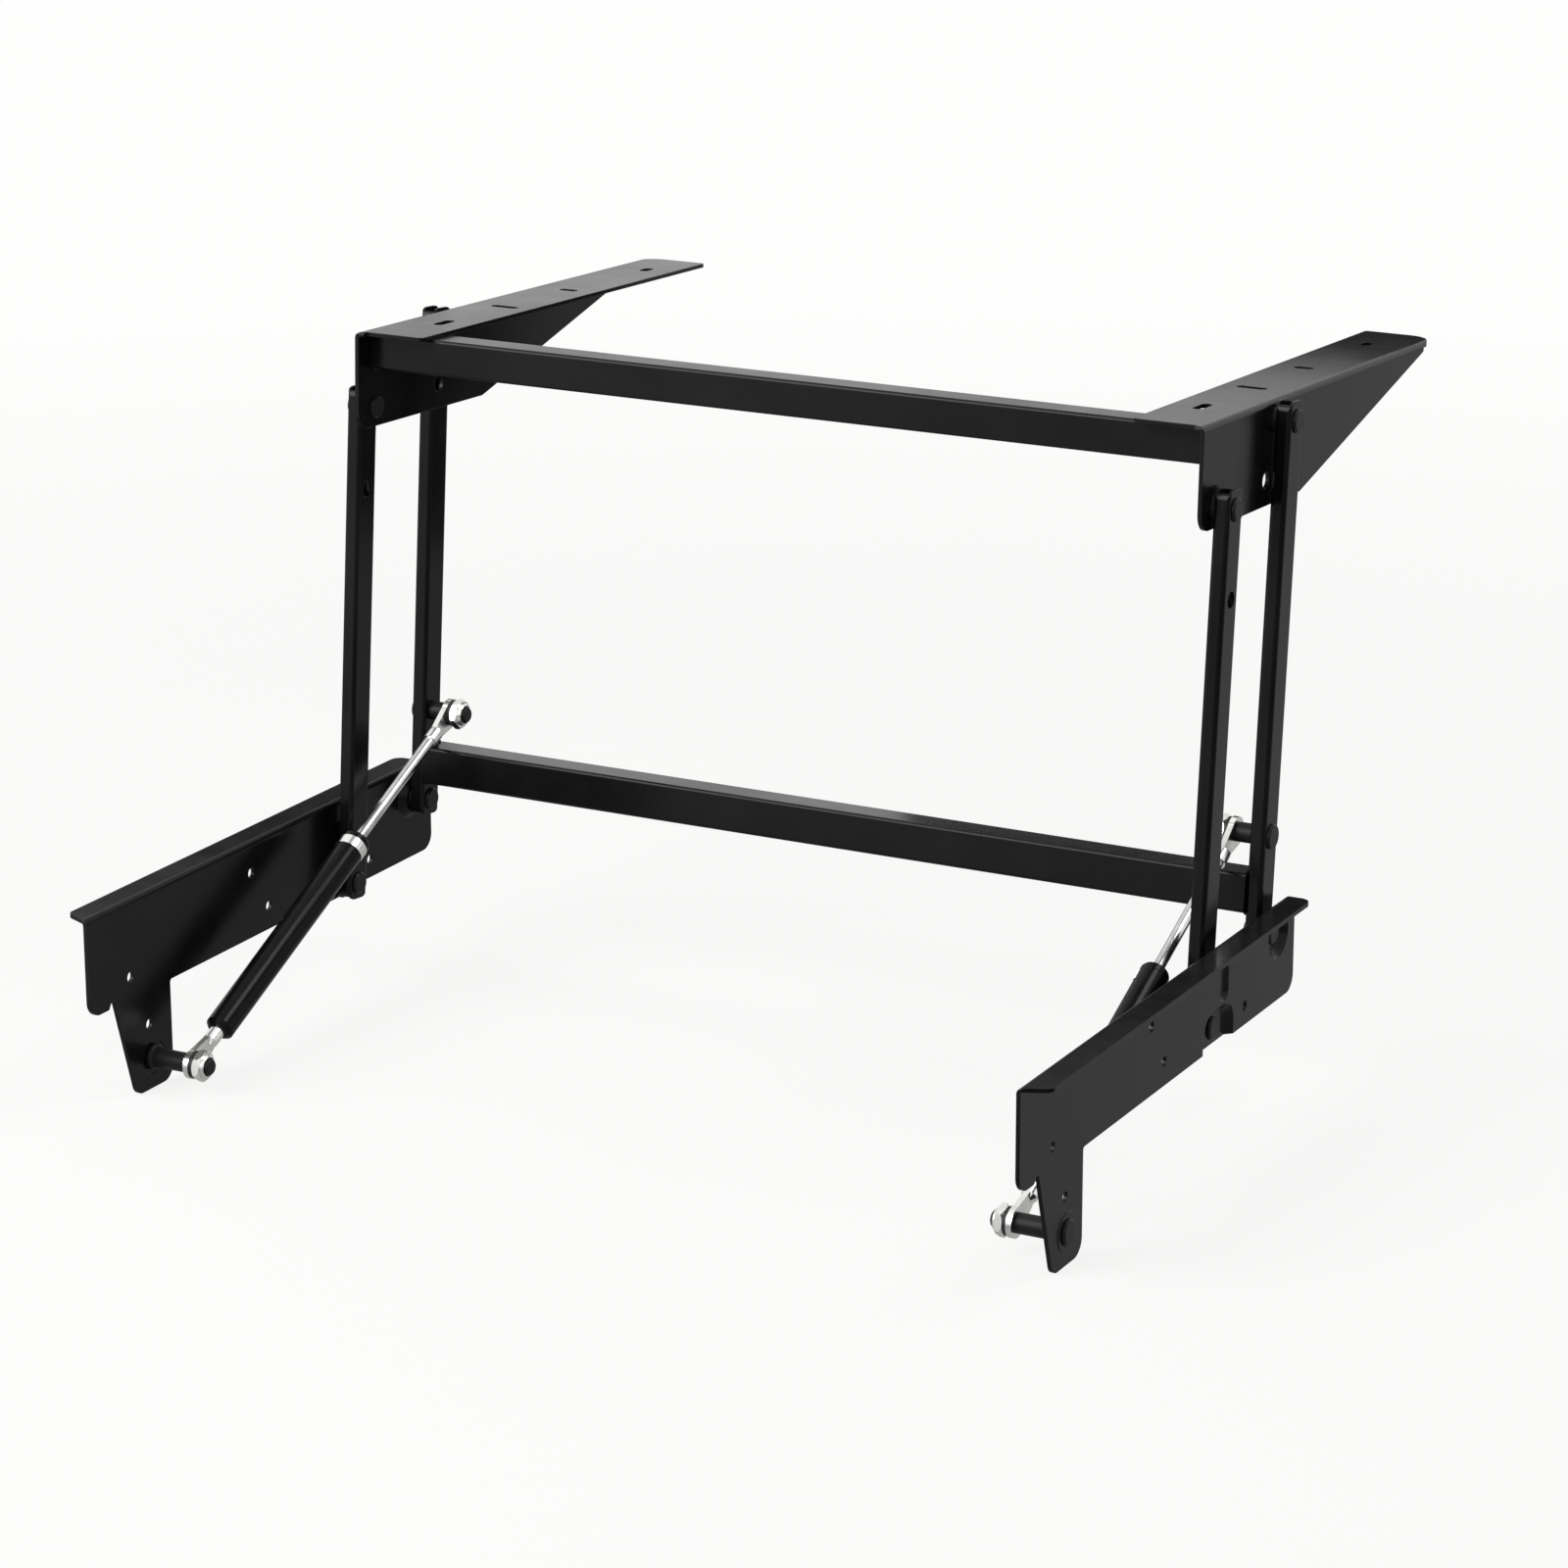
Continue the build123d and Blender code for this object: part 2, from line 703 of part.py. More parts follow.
# Base body
save_pair("base_bracket", base_bracket())
save("front_lower_rivets", both_sides(lower_rivet(FRONT_BASE)))
save("rear_lower_rivets", both_sides(lower_rivet(rear_base)))
save("front_lower_washers", both_sides(pivot_washer(FRONT_BASE)))
save("rear_lower_washers", both_sides(pivot_washer(rear_base)))
save("strut_anchor_heads", both_sides(anchor_head()))

# Front arms
save_pair("front_arm", front_arm())

# Rear frame
save_pair("rear_arm", rear_arm())
save("lower_crossbar", lower_crossbar())
save("strut_upper_studs", both_sides(upper_stud()))
save("strut_upper_washers", both_sides(eye_washer(strut_top)))
save("strut_upper_nuts", both_sides(lock_nut(strut_top, 12)))
save("strut_upper_nut_inserts", both_sides(nut_insert(strut_top)))

# Top frame
right_top_bracket = top_bracket()
save_pair("top_bracket", right_top_bracket)
save("upper_crossbar", upper_crossbar())
save("front_upper_rivets", both_sides(upper_rivet(front_top)))
save("rear_upper_rivets", both_sides(upper_rivet(rear_top)))
save("front_upper_spacers", both_sides(pivot_spacer(front_top)))
save("rear_upper_spacers", both_sides(pivot_spacer(rear_top)))

# Gas struts
strut_pieces = {
    "strut_tube": strut_tube(),
    "strut_cap": strut_cap(),
    "strut_rod_guide": rod_guide(),
    "strut_rod_seal": rod_seal(),
    "strut_lower_eye": lower_eye(),
    "strut_rod": strut_rod(),
    "strut_piston": strut_piston(),
    "strut_upper_eye": upper_eye(),
}
for name, piece in strut_pieces.items():
    save_pair(name, to_strut * piece)
save("strut_band_right", to_strut * strut_band(BAND_TURNS["right"]))
save("strut_band_left", mirrored(to_strut * strut_band(BAND_TURNS["left"])))
save_pair("strut_lower_stud", lower_stud())
save_pair("strut_lower_washer", eye_washer(STRUT_PIN))
save_pair("strut_lower_nut", lock_nut(STRUT_PIN, 20))
save_pair("strut_lower_nut_insert", nut_insert(STRUT_PIN))

print(f"front top pivot {front_top[0]:.2f} {front_top[1]:.2f}")
print(f"rear top pivot {rear_top[0]:.2f} {rear_top[1]:.2f}")
print(f"flange tilt {tilt:.3f} degrees, strut length {strut_length:.2f} at {strut_angle:.2f} degrees")
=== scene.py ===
# %% [markdown]
# # A lift top table mechanism in satin black steel
#
# This lesson dresses a finished mechanical model for a studio picture.
# The model has two base brackets, four swing arms, two top brackets, two crossbars and two gas struts.
# Its shapes come from the CAD frame, so the lesson is about finishes, weld beads, light and the camera.
# The first cell must come first, because it loads the frame that every later piece is placed in.
# Blender counts in metres, so 0.001 is a millimetre.

# %% Load the CAD frame
import math

import bmesh
import bpy
from mathutils import Matrix, Vector


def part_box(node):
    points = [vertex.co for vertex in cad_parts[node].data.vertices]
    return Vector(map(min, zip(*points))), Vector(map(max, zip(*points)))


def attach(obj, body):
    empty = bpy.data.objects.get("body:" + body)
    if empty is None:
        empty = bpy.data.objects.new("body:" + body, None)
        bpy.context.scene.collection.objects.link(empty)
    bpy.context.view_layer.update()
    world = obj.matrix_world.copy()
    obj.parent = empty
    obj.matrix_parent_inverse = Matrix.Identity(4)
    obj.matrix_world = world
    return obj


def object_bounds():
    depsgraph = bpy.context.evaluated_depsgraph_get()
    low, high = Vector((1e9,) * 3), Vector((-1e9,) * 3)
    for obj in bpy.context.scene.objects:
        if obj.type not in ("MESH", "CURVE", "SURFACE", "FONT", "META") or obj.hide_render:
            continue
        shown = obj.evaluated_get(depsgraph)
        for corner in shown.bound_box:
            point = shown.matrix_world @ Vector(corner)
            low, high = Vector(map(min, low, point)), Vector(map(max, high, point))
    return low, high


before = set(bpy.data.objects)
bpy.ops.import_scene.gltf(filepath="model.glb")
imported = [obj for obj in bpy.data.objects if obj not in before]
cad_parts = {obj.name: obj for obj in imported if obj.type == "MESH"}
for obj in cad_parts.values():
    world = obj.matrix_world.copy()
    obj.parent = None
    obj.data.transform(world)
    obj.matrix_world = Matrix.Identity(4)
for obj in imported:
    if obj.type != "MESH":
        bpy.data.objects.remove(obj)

cad_low, cad_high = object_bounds()
cad_middle = (cad_low + cad_high) / 2
print("CAD box in metres:", [round(v, 4) for v in cad_high - cad_low])

# %% [markdown]
# ## The camera
#
# The photograph looks down at the mechanism from the front right, with a long lens,
# so the bars hardly converge.
# A camera's place and angles can be worked out from the straight edges that a picture shows.
# That was done here before the model was made, and this cell only sets the result.
# The angles are turned into one rotation: tilt first, then the turn round the vertical, with a little roll.

# %% The camera
CAMERA_PLACE = Vector((1.3795, -2.4602, 0.9597))
CAMERA_TURN = math.radians(28.025)
CAMERA_DOWN = math.radians(16.965)
CAMERA_ROLL = math.radians(-0.129)
SENSOR_WIDTH = 36.0
PHOTO_SIDE = 1600
FOCAL_PIXELS = 5174.9
NEAREST = 0.1
FARTHEST = 60.0


def make_camera():
    """The camera that sees the mechanism as the photograph does."""
    lens = bpy.data.cameras.new("photo_camera")
    lens.sensor_width = SENSOR_WIDTH
    lens.lens = SENSOR_WIDTH * FOCAL_PIXELS / PHOTO_SIDE
    lens.clip_start = NEAREST
    lens.clip_end = FARTHEST
    camera = bpy.data.objects.new("photo_camera", lens)
    turn = Matrix.Rotation(CAMERA_TURN, 4, "Z")
    tilt = Matrix.Rotation(math.pi / 2 - CAMERA_DOWN, 4, "X")
    roll = Matrix.Rotation(CAMERA_ROLL, 4, "Z")
    camera.matrix_world = Matrix.Translation(CAMERA_PLACE) @ turn @ tilt @ roll
    bpy.context.scene.collection.objects.link(camera)
    return camera


bpy.context.scene.camera = make_camera()
bpy.context.scene.view_settings.view_transform = "Standard"
print("lens in mm:", round(bpy.context.scene.camera.data.lens, 2))

# %% [markdown]
# ## Short helpers for nodes
#
# A material in Blender is a small network of nodes.
# Writing each node on three lines hides what the network does, so these helpers add a node
# and wire it in one call.
# A value that is a number is typed into the socket, and a value that is an output of another node is linked.
# Some nodes have several inputs with the same name. Those are given by their number, as i0, i1 and so on.


# %% Helpers that add and wire nodes
def wire(tree, node, name, value):
    """Links value into an input if it is a socket, or types it in if it is a number or a colour."""
    numbered = name[0] == "i" and name[1:].isdigit()
    socket = node.inputs[int(name[1:])] if numbered else node.inputs[name]
    if isinstance(value, bpy.types.NodeSocket):
        tree.links.new(value, socket)
    else:
        socket.default_value = value


def add_node(tree, kind, settings=None, **inputs):
    """Adds a node, sets its properties, and fills or links the inputs named by the keywords."""
    node = tree.nodes.new(kind)
    for name, value in (settings or {}).items():
        setattr(node, name, value)
    for name, value in inputs.items():
        wire(tree, node, name.replace("_", " "), value)
    return node


# %% Helpers that calculate and blend
def calculate(tree, operation, first, second=0.0, clamp=False):
    """A Math node's result."""
    settings = {"operation": operation, "use_clamp": clamp}
    return add_node(tree, "ShaderNodeMath", settings, i0=first, i1=second).outputs[0]


def blend_values(tree, share, low, high):
    """A number that goes from low to high as share goes from 0 to 1."""
    node = add_node(tree, "ShaderNodeMapRange", {"clamp": True}, Value=share, To_Min=low, To_Max=high)
    return node.outputs["Result"]


def spread(tree, value, start, end):
    """0 where value is start, 1 where it is end, and straight between them. start may be the larger."""
    node = add_node(tree, "ShaderNodeMapRange", {"clamp": True}, Value=value, From_Min=start, From_Max=end)
    return node.outputs["Result"]


def soft_step(tree, value, start, end):
    """As spread, but it leaves 0 and reaches 1 smoothly."""
    settings = {"clamp": True, "interpolation_type": "SMOOTHSTEP"}
    node = add_node(tree, "ShaderNodeMapRange", settings, Value=value, From_Min=start, From_Max=end)
    return node.outputs["Result"]


def blend_colours(tree, share, first, second):
    """A colour that goes from first to second as share goes from 0 to 1."""
    node = add_node(tree, "ShaderNodeMix", {"data_type": "RGBA"}, i0=share, i6=first, i7=second)
    return node.outputs[2]


def surface_place(tree):
    """Where a point is on its own piece, in metres. It stays with the piece when a joint moves."""
    return add_node(tree, "ShaderNodeTexCoord").outputs["Object"]


def noise(tree, place, scale, detail=2.0, roughness=0.5):
    """Soft random clouds with about scale lumps to the metre."""
    amounts = {"Vector": place, "Scale": scale, "Detail": detail, "Roughness": roughness}
    return add_node(tree, "ShaderNodeTexNoise", None, **amounts).outputs["Fac"]


# %% [markdown]
# ## Effects that several finishes share
#
# Paint, plating and plastic all show the same few things: a skin that isn't quite flat,
# a cloudy change of gloss, dust on the faces that look up, and corners that have been rubbed, which also
# carry a painted highlight.
# Each effect is made once, as a node group with named inputs, and every finish below uses it
# with its own amounts.
# A group gives out only numbers that change over the surface, and the shader itself stays in the material.


# %% Helpers for effect groups
def effect_group(name, inputs, outputs):
    """An empty node group with number inputs, given as name and usual value, and number outputs."""
    group = bpy.data.node_groups.new(name, "ShaderNodeTree")
    for label, usual in inputs:
        socket = group.interface.new_socket(label, in_out="INPUT", socket_type="NodeSocketFloat")
        socket.default_value = usual
    for label in outputs:
        group.interface.new_socket(label, in_out="OUTPUT", socket_type="NodeSocketFloat")
    return group, group.nodes.new("NodeGroupInput").outputs, group.nodes.new("NodeGroupOutput")


def use_effect(tree, group, **amounts):
    """Places an effect group in a material with its own amounts."""
    node = add_node(tree, "ShaderNodeGroup", {"node_tree": group})
    for label, amount in amounts.items():
        wire(tree, node, label.replace("_", " "), amount)
    return node.outputs


# %% [markdown]
# ### The skin of a coating
#
# Powder coat is sprayed on as dust and melts in an oven, so its skin flows into low lumps
# about a millimetre across. Makers call it orange peel.
# Plating has much finer and flatter lumps, so the size and the share of fine grain are inputs.
# A height map painted by hand would show its pixels close up, and noise doesn't.

# %% Effect: coating skin
FINE_GRAIN = 4.7
CLOUD_EDGES = (0.32, 0.68)


def make_coating_skin():
    """Height of a coating's lumpy skin, from 0 to 1, and a slow cloud for changes of gloss."""
    inputs = [("Lumps per metre", 900.0), ("Fine share", 0.3), ("Clouds per metre", 14.0)]
    group, given, result = effect_group("coating_skin", inputs, ["Height", "Cloud"])
    place = surface_place(group)
    lumps = noise(group, place, given["Lumps per metre"], detail=1.0)
    fine = noise(group, place, calculate(group, "MULTIPLY", given["Lumps per metre"], FINE_GRAIN))
    parts = {"i0": given["Fine share"], "i2": lumps, "i3": fine}
    mixed = add_node(group, "ShaderNodeMix", {"data_type": "FLOAT"}, **parts)
    wire(group, result, "Height", mixed.outputs[0])
    cloud = noise(group, place, given["Clouds per metre"], detail=4.0, roughness=0.6)
    wire(group, result, "Cloud", spread(group, cloud, *CLOUD_EDGES))
    return group


coating_skin = make_coating_skin()
print("effect:", coating_skin.name)

# %% [markdown]
# ### Dust
#
# Dust lies only on faces that look up, in patches.
# A mask could be painted by hand, but every mesh would need an unwrapping for it.
# Here the true normal says which way a face looks, and noise breaks the dust up.

# %% Effect: settled dust
LOOKS_UP = (0.3, 0.95)
PATCHES_PER_METRE = 55.0
PATCH_EDGES = (0.38, 0.7)


def make_settled_dust():
    """A mask of dust on faces that look up."""
    group, given, result = effect_group("settled_dust", [("Amount", 0.3)], ["Mask"])
    normal = add_node(group, "ShaderNodeNewGeometry").outputs["Normal"]
    up = add_node(group, "ShaderNodeSeparateXYZ", None, Vector=normal).outputs["Z"]
    facing = spread(group, up, *LOOKS_UP)
    patches = noise(group, surface_place(group), PATCHES_PER_METRE, detail=6.0, roughness=0.65)
    settled = calculate(group, "MULTIPLY", facing, spread(group, patches, *PATCH_EDGES))
    wire(group, result, "Mask", calculate(group, "MULTIPLY", settled, given["Amount"], clamp=True))
    return group


settled_dust = make_settled_dust()
print("effect:", settled_dust.name)

# %% [markdown]
# ### Rubbed corners and a painted edge highlight
#
# Paint is rubbed first where a plate or a tube has a corner, and the same mask paints a lighter grey on the
# corners as a highlight, in place of the thin lines of light along the edges.
# A Bevel node gives the normal of an imaginary rounded edge, and where that differs from the real normal
# there is a corner. Noise wears it unevenly.
# The rounded normal is given out as well, because a coated edge is never knife sharp:
# it catches a thin line of light, which tells the eye where one face ends.

# %% Effect: rubbed corners and a painted edge highlight
FLAT_FACE = 0.995
FULL_CORNER = 0.86
WEAR_PER_METRE = 160.0
WEAR_EDGES = (0.36, 0.62)


def make_worn_and_highlit_corners():
    """A mask of worn corners that also paints a highlight on them, and the normal of corners that are softly
    rounded.
    """
    inputs = [("Width", 0.0008), ("Amount", 0.5)]
    group, given, result = effect_group("worn_and_highlit_corners", inputs, ["Mask"])
    rounded = add_node(group, "ShaderNodeBevel", {"samples": 4}, Radius=given["Width"]).outputs["Normal"]
    real = add_node(group, "ShaderNodeNewGeometry").outputs["Normal"]
    alike = add_node(group, "ShaderNodeVectorMath", {"operation": "DOT_PRODUCT"}, i0=rounded, i1=real)
    corner = spread(group, alike.outputs["Value"], FLAT_FACE, FULL_CORNER)
    wear = noise(group, surface_place(group), WEAR_PER_METRE, detail=5.0, roughness=0.6)
    # The corner mask stands for both wear and a painted edge highlight.
    worn_and_highlit = calculate(group, "MULTIPLY", corner, spread(group, wear, *WEAR_EDGES))
    wire(group, result, "Mask", calculate(group, "MULTIPLY", worn_and_highlit, given["Amount"], clamp=True))
    group.interface.new_socket("Soft normal", in_out="OUTPUT", socket_type="NodeSocketVector")
    wire(group, result, "Soft normal", rounded)
    return group


worn_and_highlit_corners = make_worn_and_highlit_corners()
print("effect:", worn_and_highlit_corners.name)

# %% [markdown]
# ### Lines left by turning and grinding
#
# A chromed rod is ground between centres, so its faint lines run round it.
# Plated studs, eyes and nuts are turned from bar and show the same rings.
# The rings follow each strut's own axis, which isn't along X, Y or Z,
# so the group takes the axis as three numbers.


# %% Effect: turned lines
def make_turned_lines():
    """Fine uneven rings round an axis, from 0 to 1."""
    inputs = [("Axis X", 0.0), ("Axis Y", 0.0), ("Axis Z", 1.0), ("Rings per metre", 2500.0)]
    group, given, result = effect_group("turned_lines", inputs, ["Height"])
    ways = {"X": given["Axis X"], "Y": given["Axis Y"], "Z": given["Axis Z"]}
    axis = add_node(group, "ShaderNodeCombineXYZ", None, **ways).outputs[0]
    dot = {"operation": "DOT_PRODUCT"}
    along = add_node(group, "ShaderNodeVectorMath", dot, i0=surface_place(group), i1=axis)
    rings = add_node(group, "ShaderNodeTexNoise", {"noise_dimensions": "1D"}, Detail=3.0, Roughness=0.7)
    wire(group, rings, "W", along.outputs["Value"])
    wire(group, rings, "Scale", given["Rings per metre"])
    wire(group, result, "Height", rings.outputs["Fac"])
    return group


turned_lines = make_turned_lines()
print("effect:", turned_lines.name)

# %% [markdown]
# ## Starting a finish
#
# Each finish is one Principled shader with its steady numbers typed straight into its sockets.
# What changes over the surface comes from the effects and goes to Base Color, Roughness or a Bump node.


# %% Helpers for finishes
def start_finish(name, **steady):
    """A new material with one Principled shader and steady values in its sockets."""
    finish = bpy.data.materials.new(name)
    finish.use_nodes = True
    tree = finish.node_tree
    shader = tree.nodes["Principled BSDF"]
    for label, value in steady.items():
        shader.inputs[label.replace("_", " ")].default_value = value
    return finish, tree, shader


def raise_skin(tree, shader, height, depth, soft_normal=None):
    """Turns a height from 0 to 1 into a bump of the given depth in metres, over rounded corners if given."""
    bump = add_node(tree, "ShaderNodeBump", None, Height=height, Distance=depth, Strength=1.0)
    if soft_normal is not None:
        wire(tree, bump, "Normal", soft_normal)
    tree.links.new(bump.outputs["Normal"], shader.inputs["Normal"])


def grey(value, blue=0.0):
    """A grey colour, with a little more blue if asked for."""
    return (value, value, value + blue, 1.0)


# %% [markdown]
# ## Black powder coat
#
# Brackets, arms and crossbars share one satin black powder coat.
# Black paint shows almost only what it mirrors: faces that look up mirror the white room and turn grey,
# and faces that look at the camera stay nearly black.
# A low index of refraction keeps that difference as strong as in the photograph.
# A pure black with a high gloss would look like plastic, so the black drifts a little and the gloss with it.

# %% Finish: black powder coat
CORNER_WIDTH = 0.0007
# Amount and colour of the corner mask: partly worn paint, partly a painted highlight along the edges.
CORNER_WEAR_AND_HIGHLIGHT = 0.55
WORN_EDGE_AND_HIGHLIGHT = grey(0.055, 0.002)
DUST_COLOUR = (0.11, 0.11, 0.108, 1.0)
DUST_DULLS = 0.5
WEAR_POLISHES = 0.12
COATING_FINE_SHARE = 0.25


def make_powder_coat(name, deep, worn, gloss, lumps, depth, dust, refraction=1.25):
    """A black coating: deep and worn are its two blacks, gloss its lowest and highest roughness."""
    finish, tree, shader = start_finish(name, Metallic=0.0, IOR=refraction)
    skin = use_effect(tree, coating_skin, Lumps_per_metre=lumps, Fine_share=COATING_FINE_SHARE)
    corner = use_effect(tree, worn_and_highlit_corners, Width=CORNER_WIDTH, Amount=CORNER_WEAR_AND_HIGHLIGHT)
    dusty = use_effect(tree, settled_dust, Amount=dust)["Mask"]
    cloudy = blend_colours(tree, skin["Cloud"], deep, worn)
    # Corners are painted a lighter grey: partly wear, partly a painted edge highlight.
    worn_and_highlit = blend_colours(tree, corner["Mask"], cloudy, WORN_EDGE_AND_HIGHLIGHT)
    tree.links.new(blend_colours(tree, dusty, worn_and_highlit, DUST_COLOUR), shader.inputs["Base Color"])
    satin = blend_values(tree, skin["Cloud"], gloss[0], gloss[1])
    dull = calculate(tree, "ADD", satin, calculate(tree, "MULTIPLY", dusty, DUST_DULLS), clamp=True)
    polish = calculate(tree, "MULTIPLY", corner["Mask"], WEAR_POLISHES)
    tree.links.new(calculate(tree, "SUBTRACT", dull, polish), shader.inputs["Roughness"])
    raise_skin(tree, shader, skin["Height"], depth, corner["Soft normal"])
    return finish


powder_coat = make_powder_coat(
    "satin_black_powder_coat",
    deep=grey(0.003, 0.0004),
    worn=grey(0.006, 0.0005),
    gloss=(0.18, 0.26),
    lumps=800.0,
    depth=0.00002,
    dust=0.03,
)
print("finish:", powder_coat.name)

# %% [markdown]
# ### Rivets, studs and strut tubes
#
# Rivets and studs are coated too, but their heads are pressed or turned, so they are duller and finer.
# The struts' tubes are sprayed with wet paint, which flows out flatter and shines more than powder.

# %% Finishes: rivets, studs and strut tubes
coated_rivet = make_powder_coat(
    "coated_rivet_steel",
    deep=grey(0.006, 0.0005),
    worn=grey(0.012, 0.0005),
    gloss=(0.28, 0.42),
    lumps=1400.0,
    depth=0.00002,
    dust=0.1,
)
coated_stud = make_powder_coat(
    "coated_stud_steel",
    deep=grey(0.005, 0.0005),
    worn=grey(0.011, 0.0005),
    gloss=(0.3, 0.45),
    lumps=1200.0,
    depth=0.00002,
    dust=0.1,
)
strut_paint = make_powder_coat(
    "gloss_black_strut_paint",
    deep=grey(0.003, 0.0005),
    worn=grey(0.006, 0.0005),
    gloss=(0.14, 0.2),
    lumps=500.0,
    depth=0.00001,
    dust=0.03,
    refraction=1.2,
)
print("finishes:", coated_rivet.name, coated_stud.name, strut_paint.name)

# %% [markdown]
# ## Bright metals
#
# Zinc plating is a bright metal with a slightly milky gloss, and hard chrome is darker and sharper.
# Both take their shine from the white room, so they only need a colour, a roughness that drifts,
# and fine lines.
# The rings need the strut's direction, which is read from the box of its rod.

# %% Finish: bright metal
rod_low, rod_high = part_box("strut_rod_right")
rod_run = rod_high - rod_low
STRUT_AXIS = Vector((0.0, rod_run.y, rod_run.z)).normalized()
ACROSS = Vector((1.0, 0.0, 0.0))
METAL_GRAIN = {"Lumps_per_metre": 2200.0, "Fine_share": 0.5, "Clouds_per_metre": 120.0}


def make_bright_metal(name, bright, dim, gloss, axis, rings, depth):
    """A plated or ground metal with rings round an axis. bright and dim are its two colours."""
    finish, tree, shader = start_finish(name, Metallic=1.0)
    skin = use_effect(tree, coating_skin, **METAL_GRAIN)
    way = {"Axis_X": axis.x, "Axis_Y": axis.y, "Axis_Z": axis.z}
    lines = use_effect(tree, turned_lines, Rings_per_metre=rings, **way)
    tree.links.new(blend_colours(tree, skin["Cloud"], bright, dim), shader.inputs["Base Color"])
    drift = calculate(tree, "MULTIPLY", calculate(tree, "ADD", skin["Cloud"], lines["Height"]), 0.5)
    tree.links.new(blend_values(tree, drift, gloss[0], gloss[1]), shader.inputs["Roughness"])
    grain = calculate(tree, "MULTIPLY", skin["Height"], 0.5)
    raise_skin(tree, shader, calculate(tree, "ADD", grain, lines["Height"]), depth)
    return finish


print("strut axis:", [round(v, 3) for v in STRUT_AXIS])

# %% Finishes: zinc and chrome
rod_chrome = make_bright_metal(
    "ground_chrome_rod",
    bright=(0.72, 0.725, 0.735, 1.0),
    dim=(0.5, 0.505, 0.515, 1.0),
    gloss=(0.12, 0.26),
    axis=STRUT_AXIS,
    rings=3000.0,
    depth=0.000004,
)
ZINC_BRIGHT = (0.93, 0.925, 0.905, 1.0)
ZINC_DIM = (0.8, 0.8, 0.79, 1.0)
ZINC_GLOSS = (0.16, 0.28)
zinc_fitting = make_bright_metal(
    "bright_zinc_fitting", ZINC_BRIGHT, ZINC_DIM, ZINC_GLOSS, STRUT_AXIS, rings=900.0, depth=0.000005
)
zinc_nut = make_bright_metal(
    "bright_zinc_nut", ZINC_BRIGHT, ZINC_DIM, ZINC_GLOSS, ACROSS, rings=1200.0, depth=0.000005
)
piston_metal = make_bright_metal(
    "turned_piston_metal",
    bright=grey(0.66, 0.01),
    dim=grey(0.55, 0.01),
    gloss=(0.25, 0.4),
    axis=STRUT_AXIS,
    rings=1500.0,
    depth=0.00001,
)
print("bright finishes:", rod_chrome.name, zinc_fitting.name, zinc_nut.name, piston_metal.name)

# %% [markdown]
# ## Plastics and rubber
#
# The washers between arm and bracket are black nylon, each lock nut holds a nylon ring,
# and the strut has a guide bush and a rubber seal inside.
# Plastic has a softer shine than paint, with the fine grain of the mould.
# It could borrow the paint's finish, but it has no rubbed corners and mirrors more at a glance,
# so it gets a higher index of refraction and only the coating skin.

# %% Finish: moulded plastic
PLASTIC_REFRACTION = 1.45
MOULD_CLOUDS = 90.0


def make_moulded_plastic(name, dark, pale, gloss, grain, depth=0.00002):
    """A moulded plastic or rubber with mould grain."""
    finish, tree, shader = start_finish(name, Metallic=0.0, IOR=PLASTIC_REFRACTION)
    amounts = {"Lumps_per_metre": grain, "Fine_share": 0.6, "Clouds_per_metre": MOULD_CLOUDS}
    skin = use_effect(tree, coating_skin, **amounts)
    tree.links.new(blend_colours(tree, skin["Cloud"], dark, pale), shader.inputs["Base Color"])
    tree.links.new(blend_values(tree, skin["Cloud"], gloss[0], gloss[1]), shader.inputs["Roughness"])
    raise_skin(tree, shader, skin["Height"], depth)
    return finish


# %% Finishes: plastics and rubber
black_washer = make_moulded_plastic("black_nylon_washer", grey(0.006), grey(0.012), (0.45, 0.6), 2600.0)
nut_insert = make_moulded_plastic(
    "dark_nylon_insert", grey(0.012, 0.001), grey(0.024, 0.002), (0.4, 0.55), 2600.0
)
guide_bush = make_moulded_plastic("moulded_guide_bush", grey(0.1), grey(0.14), (0.4, 0.55), 2400.0)
seal_rubber = make_moulded_plastic(
    "black_seal_rubber", grey(0.018), grey(0.03), (0.55, 0.75), 1800.0, depth=0.00003
)
print("plastics:", black_washer.name, nut_insert.name, guide_bush.name, seal_rubber.name)

# %% [markdown]
# ## Dressing the CAD nodes
#
# Each CAD node comes with a plain material that is named after its slot in the record.
# The finishes above are listed by those names, so a loop can dress every node.
# A CAD node keeps its mesh. Only the material in its slot is changed.

# %% Dress the nodes
FINISH = {
    "powder_coat": powder_coat,
    "coated_rivet": coated_rivet,
    "black_washer": black_washer,
    "coated_stud": coated_stud,
    "zinc_nut": zinc_nut,
    "nut_insert": nut_insert,
    "strut_paint": strut_paint,
    "zinc_fitting": zinc_fitting,
    "rod_chrome": rod_chrome,
    "piston_metal": piston_metal,
    "guide_bush": guide_bush,
    "seal_rubber": seal_rubber,
}

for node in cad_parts.values():
    slot_name = node.material_slots[0].material.name.split(".")[0]
    for place in node.material_slots:
        place.material = FINISH[slot_name]
print("dressed nodes:", len(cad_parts))

# %% [markdown]
# ## Weld beads
#
# No bolt holds the crossbars, so they are welded to the arms and to the webs of the top brackets.
# A bead of weld is a row of small ripples, left one after another as the torch moves on.
# It could be a bump in the paint, but a bead has a thickness that shows at the edge of the bar,
# so each one is a thin tube of rings whose radius rises and falls along the seam and closes at both ends.
# The bars aren't level: they lean with the raised arms and with the tilted top frame, and the beads too.

# %% Helpers for a weld bead
BEAD = 0.0011
RIPPLE = 0.0013
RIPPLE_HEIGHT = 0.13
RINGS_PER_RIPPLE = 4
BEAD_SIDES = 10


